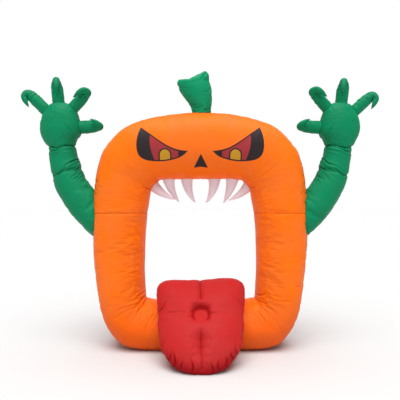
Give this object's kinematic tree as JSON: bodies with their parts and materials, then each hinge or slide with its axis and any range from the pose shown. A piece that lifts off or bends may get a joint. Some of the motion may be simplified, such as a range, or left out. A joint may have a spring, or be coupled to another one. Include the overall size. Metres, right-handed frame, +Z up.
{
  "type": "inflatable jack-o'-lantern archway",
  "caption": "Inflated cloth archway shaped as a pumpkin face: a fat ring to walk through, with a stem, raised arms with clawed hands, fangs and a tongue.",
  "frame": {"origin": "on the ground, under the middle of the ring and in the ring's middle plane", "axes": "+Z up, -Y towards the front, where the face and the tongue are, +X to the right as seen from the front"},
  "size_m": [3.5398, 1.0866, 2.7301],
  "materials": {
    "orange_cloth": "satin coated cloth",
    "green_cloth": "satin coated cloth",
    "red_cloth": "satin coated cloth",
    "pink_cloth": "satin coated cloth"
  },
  "bodies": {
    "root": {"arch_lower": "orange_cloth", "arch_upper": "orange_cloth", "stem": "green_cloth", "arm_left": "green_cloth", "arm_right": "green_cloth", "palm_left": "green_cloth", "palm_right": "green_cloth", "finger_outer_left": "green_cloth", "finger_outer_right": "green_cloth", "finger_middle_left": "green_cloth", "finger_middle_right": "green_cloth", "finger_inner_left": "green_cloth", "finger_inner_right": "green_cloth", "thumb_left": "green_cloth", "thumb_right": "green_cloth", "fang_1": "pink_cloth", "fang_2": "pink_cloth", "fang_3": "pink_cloth", "fang_4": "pink_cloth", "fang_5": "pink_cloth", "fang_6": "pink_cloth", "tongue": "red_cloth"}
  },
  "joints": []
}
